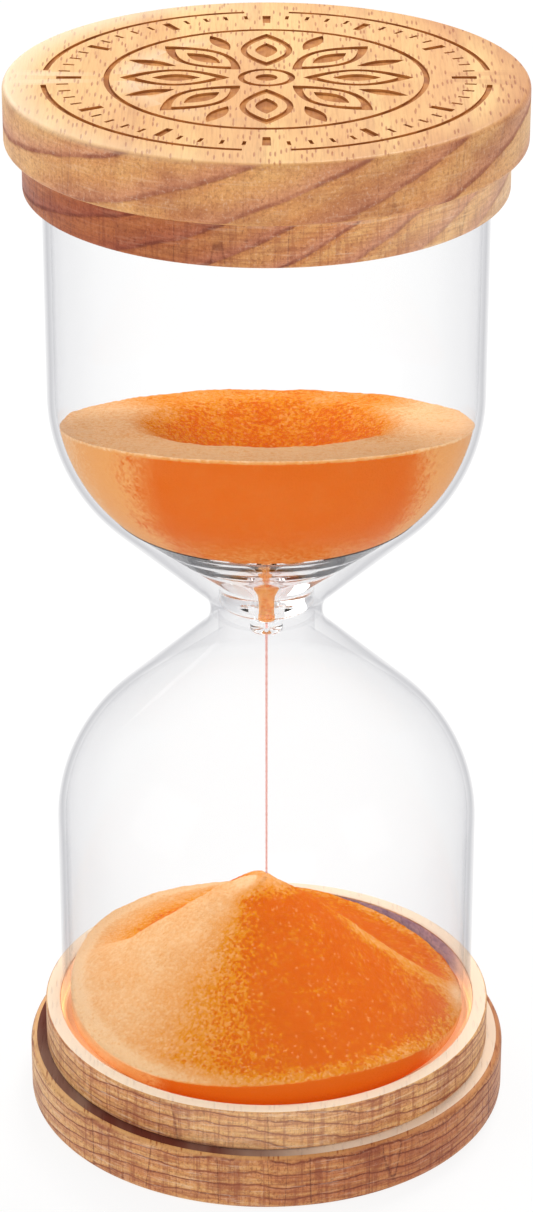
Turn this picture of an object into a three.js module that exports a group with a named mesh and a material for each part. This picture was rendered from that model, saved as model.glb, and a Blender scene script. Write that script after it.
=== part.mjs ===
// Sand timer: two blown glass bulbs meet at a clear throat block and stand in two stepped beech caps.
// Millimetres, +Z up, origin at the centre of the base. The sand is shown part-way through its run.

import * as THREE from "three";

// Driving dimensions
const HEIGHT = 160;
const DISC_RADIUS = 36;
const DISC_THICKNESS = 8.6;
const COLLAR_RADIUS = 33.6;
const COLLAR_HEIGHT = 6.5;
const GLASS_RADIUS = 31;
const GLASS_WALL = 1.1;
const WAIST_RADIUS = 8.15;
const CONE_ANGLE = THREE.MathUtils.degToRad(46.5);
const SHOULDER_RADIUS = 23.8;
const SHOULDER_HEIGHT = 34; // above the mid-plane, where the shoulder meets the straight wall

// Fits and joints
const GAP = 0.3;
const GLUE_LINE = 0.1;
const EDGE_RADIUS = 1;
const SPIGOT_HEIGHT = 0.8;
const CUSHION_THICKNESS = 1.2;
const CUSHION_RADIUS = 24;
const CUSHION_HOLE_RADIUS = 7.5;
const END_WALL = 2;
const HEEL_RADIUS = 3;
const BOND_HEIGHT = 2.6;
const BOND_CLEARANCE = 0.2; // between the bonding bead and the rounded heel of the glass
const COLLAR_EDGE_RADIUS = 0.6;
const STREAM_CLEARANCE = 0.2;

// Throat
const NECK_BORE_RADIUS = 7;
const NECK_BORE_HALF = 4.6; // half the length of the straight bore through both necks
const BLOCK_BOTTOM = 1; // the underside, above the mid-plane
const BOWL = [
  // radius and height above the mid-plane, from the rim down to the mouth of the feed bore
  [21.2, 17.6],
  [18.2, 15.3],
  [14.2, 12.6],
  [10.5, 10.9],
  [8.2, 10.4],
  [3, 9.4],
];
const FEED_RADIUS = 1.2;
const FEED_TOP = 5;
const FEED_BOTTOM = -2;
const ORIFICE_RADIUS = 0.38;
const ORIFICE_BOTTOM = -2.8;
const NIPPLE_RADIUS = 2.4;
const NIPPLE_BOTTOM = -3.4;
const OUTLET_RADIUS = 1.6;

// Stopper in the upper bulb's filling hole
const FILL_HOLE_RADIUS = 5;
const STOPPER_HEAD_RADIUS = 6.5;
const STOPPER_TIP_RADIUS = 4.3;
const STOPPER_DEPTH = 3;

// Sand
const UPPER_LEVEL = 29.3; // above the mid-plane, at the axis, before the crater is taken out
const UPPER_TILT = 0.225; // rise per millimetre towards the front
const CRATER_RADIUS = 20;
const CRATER_DEPTH = 11;
const PILE_APEX = 35.6;
const CROWN_OFFSET = 1.4; // the crown lies this far to the left of the axis
const CROWN_BLUNTNESS = 0.15; // the radius that rounds the crown, as a rough share of the radius of the pile
const PILE_WALL_HEIGHT = 16.6; // mean height at which the pile meets the glass
const PILE_RIPPLES = [
  // cosine and sine parts of that height's once, twice and three times round waves
  [0.08, -1.37],
  [0.7, 1.34],
  [0.19, 0.34],
];
const FRONT_HOLLOWNESS = 1.06; // a flank is straight at 1 and sags more the higher this is
const BACK_HOLLOWNESS = 1.9;
const BACK_STARTS = 0.03; // the back flank starts where the backward share of the direction passes this
const BACK_FULL = 0.42;
const STREAM_RADIUS = 0.25;

// Worked out from the above
const MIDDLE = HEIGHT / 2;
const CAP_DEPTH = DISC_THICKNESS + COLLAR_HEIGHT;
const SPIGOT_TOP = DISC_THICKNESS + SPIGOT_HEIGHT;
const CUSHION_BASE = SPIGOT_TOP + GLUE_LINE;
const GLASS_END = CUSHION_BASE + CUSHION_THICKNESS + GLUE_LINE;
const GLASS_FLOOR = GLASS_END + END_WALL;
const SHOULDER_CENTRE = GLASS_RADIUS - SHOULDER_RADIUS;
const INNER_SHOULDER = SHOULDER_RADIUS - GLASS_WALL;
const INNER_RADIUS = GLASS_RADIUS - GLASS_WALL;
const CONE_TOP = SHOULDER_HEIGHT - SHOULDER_RADIUS * Math.sin(CONE_ANGLE);
const INNER_CONE_TOP = SHOULDER_HEIGHT - INNER_SHOULDER * Math.sin(CONE_ANGLE);

const SIDES = 40;
const SMALL_SIDES = 20;

const MATERIALS = {
  beech: new THREE.MeshStandardMaterial({ color: 0xd2a679, roughness: 0.6, metalness: 0 }),
  glass: new THREE.MeshStandardMaterial({
    color: 0xe9edf2,
    roughness: 0.05,
    metalness: 0,
    transparent: true,
    opacity: 0.35,
  }),
  silicone: new THREE.MeshStandardMaterial({ color: 0xe6e4df, roughness: 0.5, metalness: 0 }),
  foam: new THREE.MeshStandardMaterial({ color: 0xf1ede4, roughness: 0.9, metalness: 0 }),
  sand: new THREE.MeshStandardMaterial({ color: 0xd9661c, roughness: 0.85, metalness: 0 }),
};

const at = (radius, height) => new THREE.Vector2(radius, height);

// Points along an arc, both ends included; angles in degrees from the outward direction.
function arc(centreRadius, centreHeight, radius, fromDegrees, toDegrees, steps) {
  return Array.from({ length: steps + 1 }, (_, step) => {
    const angle = THREE.MathUtils.degToRad(fromDegrees + ((toDegrees - fromDegrees) * step) / steps);
    return at(centreRadius + radius * Math.cos(angle), centreHeight + radius * Math.sin(angle));
  });
}

// A closed solid turned about the axis. Its section runs anticlockwise, from axis to axis or back to its
// own start, and may change round the axis: sectionAt(angle) gives it, with angle 0 at the front.
function turned(sectionAt, sides = SIDES) {
  const count = sectionAt(0).length;
  const geometry = new THREE.LatheGeometry(sectionAt(0), sides);
  const position = geometry.getAttribute("position");
  for (let side = 0; side <= sides; side++) {
    const angle = (2 * Math.PI * (side % sides)) / sides;
    sectionAt(angle).forEach((point, index) => {
      const x = point.x * Math.sin(angle);
      const z = point.x * Math.cos(angle);
      position.setXYZ(side * count + index, x, point.y, z);
    });
  }
  geometry.rotateX(Math.PI / 2);
  geometry.computeVertexNormals();
  return geometry;
}

const ring = (section) => [...section, section[0].clone()];
const flipped = (section) => section.map((point) => at(point.x, -point.y)).reverse();

// ---- Beech caps: heights are measured from the cap's outer face ----

function discSection() {
  const shoulder = DISC_RADIUS - EDGE_RADIUS;
  const spigotRadius = GLASS_RADIUS;
  return [
    at(0, 0),
    ...arc(shoulder, EDGE_RADIUS, EDGE_RADIUS, -90, 0, 3),
    ...arc(shoulder, DISC_THICKNESS - EDGE_RADIUS, EDGE_RADIUS, 0, 90, 3),
    at(spigotRadius, DISC_THICKNESS),
    at(spigotRadius, SPIGOT_TOP),
    at(0, SPIGOT_TOP),
  ];
}

function collarSection() {
  const bore = GLASS_RADIUS + GAP;
  const base = DISC_THICKNESS + GLUE_LINE;
  const edge = COLLAR_EDGE_RADIUS;
  return ring([
    at(bore, base),
    at(COLLAR_RADIUS, base),
    ...arc(COLLAR_RADIUS - edge, CAP_DEPTH - edge, edge, 0, 90, 2),
    at(bore, CAP_DEPTH),
  ]);
}

// ---- Soft pieces between the cap and the glass ----

function cushionSection() {
  const top = CUSHION_BASE + CUSHION_THICKNESS;
  return ring([
    at(CUSHION_HOLE_RADIUS, CUSHION_BASE),
    at(CUSHION_RADIUS, CUSHION_BASE),
    at(CUSHION_RADIUS, top),
    at(CUSHION_HOLE_RADIUS, top),
  ]);
}

// The bonding bead fills the corner between the spigot, the collar and the rounded heel of the glass.
function bondSection() {
  const clearance = HEEL_RADIUS + BOND_CLEARANCE;
  const heelCentre = GLASS_RADIUS - HEEL_RADIUS;
  const heelHeight = GLASS_END + HEEL_RADIUS;
  const top = CUSHION_BASE + BOND_HEIGHT;
  const topAngle = THREE.MathUtils.radToDeg(Math.asin((top - heelHeight) / clearance));
  return ring([
    at(CUSHION_RADIUS + GAP, CUSHION_BASE),
    at(GLASS_RADIUS, CUSHION_BASE),
    at(GLASS_RADIUS, top),
    ...arc(heelCentre, heelHeight, clearance, topAngle, -90, 4),
    at(CUSHION_RADIUS + GAP, heelHeight - clearance),
  ]);
}

function stopperSection() {
  const headTop = GLASS_END - GAP;
  const shank = FILL_HOLE_RADIUS - GAP;
  return [
    at(0, CUSHION_BASE),
    at(STOPPER_HEAD_RADIUS, CUSHION_BASE),
    at(STOPPER_HEAD_RADIUS, headTop),
    at(shank, headTop),
    at(STOPPER_TIP_RADIUS, headTop + STOPPER_DEPTH),
    at(0, headTop + STOPPER_DEPTH),
  ];
}

// ---- Glass: heights are measured from the mid-plane ----

// Radius of a bulb's inner wall above the neck bore.
function innerRadius(height) {
  if (height <= NECK_BORE_HALF) return NECK_BORE_RADIUS;
  if (height >= SHOULDER_HEIGHT) return INNER_RADIUS;
  if (height >= INNER_CONE_TOP) {
    return SHOULDER_CENTRE + Math.sqrt(INNER_SHOULDER ** 2 - (SHOULDER_HEIGHT - height) ** 2);
  }
  const coneRadius = SHOULDER_CENTRE + INNER_SHOULDER * Math.cos(CONE_ANGLE);
  const share = (height - NECK_BORE_HALF) / (INNER_CONE_TOP - NECK_BORE_HALF);
  return NECK_BORE_RADIUS + share * (coneRadius - NECK_BORE_RADIUS);
}

// The fillet at the waist touches both the waist radius and the cone.
function waistFilletRadius() {
  const coneRadius = SHOULDER_CENTRE + SHOULDER_RADIUS * Math.cos(CONE_ANGLE);
  const coneAtMiddle = coneRadius - CONE_TOP * Math.tan(CONE_ANGLE);
  const cosine = Math.cos(CONE_ANGLE);
  return ((WAIST_RADIUS - coneAtMiddle) * cosine) / (1 - cosine);
}

// One bulb: down from the end to the neck on the outside, and back up on the inside.
function bulbSection(holeRadius) {
  const degrees = THREE.MathUtils.radToDeg(CONE_ANGLE);
  const end = MIDDLE - GLASS_END;
  const floor = MIDDLE - GLASS_FLOOR;
  const fillet = waistFilletRadius();
  const seam = GAP / 2;
  const innerHeel = HEEL_RADIUS - END_WALL;
  const seamDegrees = THREE.MathUtils.radToDeg(Math.asin(seam / fillet));
  const inside = [
    at(NECK_BORE_RADIUS, seam),
    at(NECK_BORE_RADIUS, NECK_BORE_HALF),
    ...arc(SHOULDER_CENTRE, SHOULDER_HEIGHT, INNER_SHOULDER, -degrees, 0, 6),
    ...arc(INNER_RADIUS - innerHeel, floor - innerHeel, innerHeel, 0, 90, 2),
    at(holeRadius, floor),
  ];
  const outside = [
    ...arc(WAIST_RADIUS + fillet, 0, fillet, 180 - seamDegrees, 180 - degrees, 3),
    ...arc(SHOULDER_CENTRE, SHOULDER_HEIGHT, SHOULDER_RADIUS, -degrees, 0, 6),
    ...arc(GLASS_RADIUS - HEEL_RADIUS, end - HEEL_RADIUS, HEEL_RADIUS, 0, 90, 3),
    at(holeRadius, end),
  ];
  return [...inside.reverse(), ...outside];
}

// The thickened glass of the throat: a bowl, a funnel, a feed bore and a nipple with the metering orifice.
function throatBlockSection() {
  const bore = NECK_BORE_RADIUS - GAP;
  const rimHeight = BOWL[0][1];
  return ring([
    at(ORIFICE_RADIUS, ORIFICE_BOTTOM),
    at(OUTLET_RADIUS, NIPPLE_BOTTOM),
    at(NIPPLE_RADIUS, NIPPLE_BOTTOM),
    at(NIPPLE_RADIUS, BLOCK_BOTTOM),
    at(bore, BLOCK_BOTTOM),
    at(bore, NECK_BORE_HALF),
    at(innerRadius(rimHeight) - GAP, rimHeight),
    ...BOWL.map(([radius, height]) => at(radius, height)),
    at(FEED_RADIUS, FEED_TOP),
    at(FEED_RADIUS, FEED_BOTTOM),
    at(ORIFICE_RADIUS, FEED_BOTTOM),
  ]);
}

// ---- Sand: angles run from the front towards +X ----

// Height of the upper sand: it lies tilted up to the front, with a crater over the throat.
function upperSandHeight(radius, angle) {
  const front = radius * Math.cos(angle);
  const crater = Math.max(0, 1 - radius / CRATER_RADIUS);
  return UPPER_LEVEL + UPPER_TILT * front - CRATER_DEPTH * crater;
}

function upperRim(angle) {
  const radius = INNER_RADIUS - GAP;
  const height = upperSandHeight(radius, angle);
  return at(innerRadius(height) - GAP, height);
}

function upperSandSection(angle) {
  const rim = upperRim(angle);
  const foot = BOWL[0][1] + GAP;
  const wallSteps = 5;
  const bowl = BOWL.map(([radius, height]) => at(radius - GAP, height + GAP)).reverse();
  const wall = Array.from({ length: wallSteps - 1 }, (_, step) => {
    const height = foot + ((rim.y - foot) * (step + 1)) / wallSteps;
    return at(innerRadius(height) - GAP, height);
  });
  const surface = [1, 0.66, 0.33, 0].map((share) => {
    const radius = share * CRATER_RADIUS;
    return at(radius, upperSandHeight(radius, angle));
  });
  return [
    at(0, FEED_BOTTOM + GAP),
    at(FEED_RADIUS - GAP, FEED_BOTTOM + GAP),
    at(FEED_RADIUS - GAP, FEED_TOP + GAP),
    ...bowl,
    ...wall,
    rim,
    ...surface,
  ];
}

// Height at which the pile meets the glass.
function pileWallHeight(angle) {
  return PILE_RIPPLES.reduce(
    (height, [cosine, sine], index) =>
      height + cosine * Math.cos((index + 1) * angle) + sine * Math.sin((index + 1) * angle),
    PILE_WALL_HEIGHT,
  );
}

// The pile's front is a plain cone; its back has slumped, which leaves a ridge down each side.
function pileHollowness(angle) {
  const back = THREE.MathUtils.smoothstep(-Math.cos(angle), BACK_STARTS, BACK_FULL);
  return THREE.MathUtils.lerp(FRONT_HOLLOWNESS, BACK_HOLLOWNESS, back);
}

// Height of the pile's surface: from the crown, left of the axis, its flanks fall to the glass.
function pileHeight(radius, angle, wallRadius) {
  const share = radius / wallRadius;
  const x = radius * Math.sin(angle) + CROWN_OFFSET * (1 - share);
  const front = radius * Math.cos(angle);
  const crownAngle = Math.atan2(x, front);
  const crownShare = Math.min(1, Math.hypot(x, front) / wallRadius);
  const blunted = Math.hypot(crownShare, CROWN_BLUNTNESS) - CROWN_BLUNTNESS;
  const fallen = blunted / (Math.hypot(1, CROWN_BLUNTNESS) - CROWN_BLUNTNESS);
  const wallHeight = pileWallHeight(crownAngle);
  return wallHeight + (PILE_APEX - wallHeight) * (1 - fallen) ** pileHollowness(crownAngle);
}

function lowerSandSection(angle) {
  const wallRadius = INNER_RADIUS - GAP;
  const floor = GLASS_FLOOR + GAP;
  const heel = HEEL_RADIUS - END_WALL;
  const surface = [1, 0.75, 0.5, 0.3, 0.16, 0.07, 0].map((share) => {
    const radius = share * wallRadius;
    return at(radius, pileHeight(radius, angle, wallRadius));
  });
  return [at(0, floor), ...arc(wallRadius - heel, floor + heel, heel, -90, 0, 2), ...surface];
}

function streamSection() {
  const top = MIDDLE + FEED_BOTTOM - STREAM_CLEARANCE;
  const bottom = PILE_APEX + STREAM_CLEARANCE;
  return [at(0, bottom), at(STREAM_RADIUS, bottom), at(STREAM_RADIUS, top), at(0, top)];
}

// ---- Assembly ----

function piece(name, material, section, height = 0, sides = SIDES) {
  const sectionAt = typeof section === "function" ? section : () => section;
  const mesh = new THREE.Mesh(turned(sectionAt, sides), MATERIALS[material]);
  mesh.name = name;
  mesh.position.z = height;
  return mesh;
}

const timer = new THREE.Group();

timer.add(
  piece("bottom_disc", "beech", discSection()),
  piece("bottom_collar", "beech", collarSection()),
  piece("bottom_cushion", "foam", cushionSection(), 0, SMALL_SIDES),
  piece("bottom_bond", "silicone", bondSection()),
  piece("top_disc", "beech", flipped(discSection()), HEIGHT),
  piece("top_collar", "beech", flipped(collarSection()), HEIGHT),
  piece("top_cushion", "foam", flipped(cushionSection()), HEIGHT, SMALL_SIDES),
  piece("top_bond", "silicone", flipped(bondSection()), HEIGHT),
  piece("fill_stopper", "silicone", flipped(stopperSection()), HEIGHT, SMALL_SIDES),
  piece("upper_bulb", "glass", ring(bulbSection(FILL_HOLE_RADIUS)), MIDDLE),
  piece("lower_bulb", "glass", flipped(bulbSection(0)), MIDDLE),
  piece("throat_block", "glass", throatBlockSection(), MIDDLE),
  piece("sand_upper", "sand", upperSandSection, MIDDLE),
  piece("sand_lower", "sand", lowerSandSection),
  piece("sand_stream", "sand", streamSection(), 0, 12),
);

export default timer;
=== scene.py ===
"""Sand timer: the looks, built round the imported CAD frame. Metres, +Z up, front towards -Y."""

import math

import bpy
import numpy as np
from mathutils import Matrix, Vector, noise


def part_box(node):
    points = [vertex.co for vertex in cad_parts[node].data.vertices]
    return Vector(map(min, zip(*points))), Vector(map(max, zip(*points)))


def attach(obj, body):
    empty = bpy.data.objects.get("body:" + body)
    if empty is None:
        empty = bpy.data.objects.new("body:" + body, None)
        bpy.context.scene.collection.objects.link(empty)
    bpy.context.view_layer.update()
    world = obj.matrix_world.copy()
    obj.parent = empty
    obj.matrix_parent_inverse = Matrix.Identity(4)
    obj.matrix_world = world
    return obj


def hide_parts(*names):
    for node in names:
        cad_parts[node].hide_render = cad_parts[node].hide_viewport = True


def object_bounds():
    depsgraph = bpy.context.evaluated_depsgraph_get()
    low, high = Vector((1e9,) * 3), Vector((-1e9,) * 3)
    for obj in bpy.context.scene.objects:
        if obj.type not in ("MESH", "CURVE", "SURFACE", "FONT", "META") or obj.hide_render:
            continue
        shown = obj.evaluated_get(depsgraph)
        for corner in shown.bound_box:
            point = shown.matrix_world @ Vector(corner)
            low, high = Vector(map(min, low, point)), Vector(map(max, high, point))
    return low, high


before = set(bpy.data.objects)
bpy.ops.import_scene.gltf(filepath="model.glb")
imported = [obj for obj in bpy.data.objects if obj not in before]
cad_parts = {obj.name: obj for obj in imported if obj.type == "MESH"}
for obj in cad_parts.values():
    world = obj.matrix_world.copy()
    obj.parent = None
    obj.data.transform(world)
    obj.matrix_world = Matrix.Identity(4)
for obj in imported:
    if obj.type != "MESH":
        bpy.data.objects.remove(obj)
cad_low, cad_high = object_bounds()

MM = 0.001
FULL_TURN = 2 * math.pi

# ---- Sizes from the frame ----

disc_low, disc_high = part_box("bottom_disc")
collar_low, collar_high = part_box("bottom_collar")
cushion_low, cushion_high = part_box("bottom_cushion")
bond_low, bond_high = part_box("bottom_bond")
bulb_low, bulb_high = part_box("lower_bulb")
stopper_low, stopper_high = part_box("fill_stopper")
stream_low, stream_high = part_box("sand_stream")
block_low, block_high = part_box("throat_block")
pile_low, pile_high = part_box("sand_lower")

HEIGHT = cad_high.z
MIDDLE = HEIGHT / 2
GLUE_LINE = 0.1 * MM
GAP = 0.3 * MM
DISC_RADIUS = disc_high.x
DISC_THICKNESS = collar_low.z - GLUE_LINE
SPIGOT_TOP = disc_high.z
COLLAR_RADIUS = collar_high.x
CAP_DEPTH = collar_high.z
GLASS_RADIUS = bulb_high.x
GLASS_END = bulb_low.z
STREAM_BOTTOM = stream_low.z
STREAM_TOP = stream_high.z

# ---- Shape of the glass, as in the CAD part; heights here are measured from the mid-plane ----

GLASS_WALL = 1.1 * MM
END_WALL = 2 * MM
HEEL_RADIUS = 3 * MM
WAIST_RADIUS = 8.15 * MM
CONE_ANGLE = math.radians(46.5)
SHOULDER_RADIUS = 23.8 * MM
SHOULDER_HEIGHT = 34 * MM
NECK_BORE_RADIUS = 7 * MM
NECK_BORE_HALF = 4.6 * MM
SHOULDER_CENTRE = GLASS_RADIUS - SHOULDER_RADIUS
INNER_SHOULDER = SHOULDER_RADIUS - GLASS_WALL
INNER_RADIUS = GLASS_RADIUS - GLASS_WALL
INNER_CONE_TOP = SHOULDER_HEIGHT - INNER_SHOULDER * math.sin(CONE_ANGLE)
FILL_HOLE_RADIUS = 5 * MM

BLOCK_TOP = block_high.z - MIDDLE
BLOCK_BOTTOM = 1 * MM
NIPPLE_BOTTOM = block_low.z - MIDDLE
BOWL = [
    # radius and height above the mid-plane, from the rim down to the mouth of the feed bore
    (21.2 * MM, BLOCK_TOP),
    (18.2 * MM, 15.3 * MM),
    (14.2 * MM, 12.6 * MM),
    (10.5 * MM, 10.9 * MM),
    (8.2 * MM, 10.4 * MM),
    (3 * MM, 9.4 * MM),
]
FEED_RADIUS = 1.2 * MM
FEED_TOP = 5 * MM
FEED_BOTTOM = -2 * MM
ORIFICE_RADIUS = 0.38 * MM
ORIFICE_BOTTOM = -2.8 * MM
NIPPLE_RADIUS = 2.4 * MM
OUTLET_RADIUS = 1.6 * MM

# ---- Lie of the sand, as in the CAD part ----

SAND_CLEARANCE = 0.12 * MM
UPPER_LEVEL = 29.3 * MM
UPPER_TILT = 0.225
CRATER_RADIUS = 20 * MM
CRATER_DEPTH = 11 * MM
PILE_APEX = pile_high.z
CROWN_OFFSET = 1.4 * MM
CROWN_BLUNTNESS = 0.15
PILE_WALL_HEIGHT = 16.6 * MM
PILE_RIPPLES = [(0.08 * MM, -1.37 * MM), (0.7 * MM, 1.34 * MM), (0.19 * MM, 0.34 * MM)]
FRONT_HOLLOWNESS = 1.06
BACK_HOLLOWNESS = 1.9
BACK_STARTS = 0.03
BACK_FULL = 0.42
SAND_FLOOR = pile_low.z


# ---- Mesh tools ----

def arc(centre_radius, centre_height, radius, from_degrees, to_degrees, steps):
    """Points along an arc of a section, both ends included; 0 degrees points outwards and 90 up."""
    angles = [
        math.radians(from_degrees + (to_degrees - from_degrees) * step / steps)
        for step in range(steps + 1)
    ]
    return [
        (centre_radius + radius * math.cos(a), centre_height + radius * math.sin(a))
        for a in angles
    ]


def new_object(name, vertices, faces):
    mesh = bpy.data.meshes.new(name)
    mesh.from_pydata([tuple(v) for v in vertices], [], faces)
    mesh.validate()
    obj = bpy.data.objects.new(name, mesh)
    bpy.context.scene.collection.objects.link(obj)
    return obj


def turned(name, section_at, sides=160, ring=False, lift=0.0):
    """A closed turned solid. section_at(angle) gives its section as (radius, height) points, anticlockwise.

    Angle 0 is the front and a quarter turn is +X. With ring the section closes on itself; without, each end
    is closed by one flat face, or runs to a pole where its radius is 0.
    """
    sections = [section_at(FULL_TURN * side / sides) for side in range(sides)]
    count = len(sections[0])
    vertices = [
        (r * math.sin(FULL_TURN * side / sides), -r * math.cos(FULL_TURN * side / sides), h + lift)
        for side, section in enumerate(sections)
        for r, h in section
    ]
    faces = []
    for side in range(sides):
        here = side * count
        there = (side + 1) % sides * count
        for index in range(count if ring else count - 1):
            following = (index + 1) % count
            faces.append((here + index, there + index, there + following, here + following))
    if not ring:
        faces.append([side * count for side in reversed(range(sides))])
        faces.append([side * count + count - 1 for side in range(sides)])
    return new_object(name, vertices, faces)


def finish_shading(obj, sharp_degrees=35):
    mesh = obj.data
    mesh.polygons.foreach_set("use_smooth", [True] * len(mesh.polygons))
    mesh.set_sharp_from_angle(angle=math.radians(sharp_degrees))
    mesh.update()


def place(obj, node, slot, *materials):
    """Gives a piece its materials, parents it to the root body and hides the CAD node that it stands for."""
    for material in materials:
        obj.data.materials.append(material)
    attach(obj, "root")
    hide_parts(node)
    return obj


def constant(section):
    return lambda angle: section


def flipped(section):
    """The same section for the top cap: heights run down from the top face."""
    return [(r, HEIGHT - h) for r, h in reversed(section)]


# ---- Node tools ----

class Tree:
    """Short calls for building a material's nodes."""

    def __init__(self, name):
        self.material = bpy.data.materials.new(name)
        self.material.use_nodes = True
        self.tree = self.material.node_tree
        self.tree.nodes.clear()
        self.output = self.tree.nodes.new("ShaderNodeOutputMaterial")

    def add(self, kind, inputs=None, **settings):
        node = self.tree.nodes.new("ShaderNode" + kind)
        for key, value in settings.items():
            setattr(node, key, value)
        for key, value in (inputs or {}).items():
            self.feed(node.inputs[key], value)
        return node

    def feed(self, socket, value):
        if isinstance(value, bpy.types.NodeSocket):
            self.tree.links.new(value, socket)
        else:
            socket.default_value = value

    def math(self, operation, a, b=0.0, clamp=False):
        return self.add("Math", {0: a, 1: b}, operation=operation, use_clamp=clamp).outputs[0]

    def smooth(self, value, low, high, to_low=0.0, to_high=1.0):
        node = self.add("MapRange", interpolation_type="SMOOTHSTEP")
        for index, number in enumerate((value, low, high, to_low, to_high)):
            self.feed(node.inputs[index], number)
        return node.outputs[0]

    def mix(self, factor, a, b, blend="MIX"):
        node = self.add("Mix", data_type="RGBA", blend_type=blend, clamp_factor=True)
        for index, value in ((0, factor), (6, a), (7, b)):
            self.feed(node.inputs[index], value)
        return node.outputs[2]

    def ramp(self, factor, stops):
        node = self.add("ValToRGB", {0: factor})
        elements = node.color_ramp.elements
        while len(elements) < len(stops):
            elements.new(0.5)
        for element, (position, colour) in zip(elements, stops):
            element.position = position
            element.color = colour
        return node.outputs[0]

    def millimetres(self, scale=(1.0, 1.0, 1.0)):
        """Object position in millimetres, squeezed by scale."""
        position = self.add("TexCoord").outputs["Object"]
        return self.add("Mapping", {0: position, 3: [s / MM for s in scale]}).outputs[0]

    def noise(self, vector, scale, detail=2.0, roughness=0.5):
        inputs = {"Vector": vector, "Scale": scale, "Detail": detail, "Roughness": roughness}
        return self.add("TexNoise", inputs).outputs[0]

    def voronoi(self, vector, scale=1.0, **settings):
        return self.add("TexVoronoi", {"Vector": vector, "Scale": scale}, **settings)

    def bump(self, height, distance, strength=1.0):
        inputs = {"Height": height, "Distance": distance, "Strength": strength}
        return self.add("Bump", inputs).outputs[0]

    def principled(self, **inputs):
        node = self.add("BsdfPrincipled")
        for key, value in inputs.items():
            self.feed(node.inputs[key.replace("_", " ")], value)
        self.feed(self.output.inputs[0], node.outputs[0])
        return node


def rgb(red, green, blue):
    """An sRGB colour, 0 to 255, as linear RGBA."""
    linear = [((c / 255 + 0.055) / 1.055) ** 2.4 if c > 10 else c / 3294 for c in (red, green, blue)]
    return (*linear, 1.0)


# ---- Beech ----

HONEY = rgb(238, 194, 128)
WARM = rgb(225, 170, 108)
LATE_WOOD = rgb(208, 142, 108)
GROWTH_LINE = rgb(150, 82, 56)
FLECK = rgb(172, 98, 46)
END_GRAIN = rgb(236, 208, 186)
# Tint for redder wood and for painted shade.
REDDENED_AND_SHADED = rgb(196, 148, 130)
# Cream for painted light on the top face and the top collar.
PAINTED_LIGHT_CREAM = rgb(252, 230, 196)
DARK_LINE = rgb(112, 56, 36)
# Cream of bare wood; on the step faces it also stands for a painted highlight.
FRESH_CUT = rgb(252, 236, 214)
STEP_SHADOW_BROWN = rgb(104, 50, 38)
# Colour of the painted shadow on the bottom step.
BURNT = rgb(198, 132, 66)
BURNT_DEEP = rgb(164, 98, 44)


def growth_rings(tree, pith, period, wander):
    """(position across each yearly ring from 0 to 1, a random number for each ring)."""
    across = tree.add("SeparateXYZ", {0: tree.millimetres()})
    x = tree.math("SUBTRACT", across.outputs["X"], pith[0])
    z = tree.math("SUBTRACT", across.outputs["Z"], pith[1])
    squares = tree.math("ADD", tree.math("MULTIPLY", x, x), tree.math("MULTIPLY", z, z))
    distance = tree.math("SQRT", squares)
    sway = tree.noise(tree.millimetres((1, 0.3, 1)), 0.06, 3.0)
    wobble = tree.noise(tree.millimetres((1, 0.5, 1)), 0.9, 2.0)
    shift = tree.math("ADD", tree.math("MULTIPLY", sway, 6 * wander), tree.math("MULTIPLY", wobble, 0.35 * wander))
    count = tree.math("DIVIDE", tree.math("ADD", distance, shift), period)
    number = tree.math("FLOOR", count)
    own = tree.add("TexWhiteNoise", {"W": number}, noise_dimensions="1D").outputs["Value"]
    return tree.math("FRACT", count), own


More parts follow.
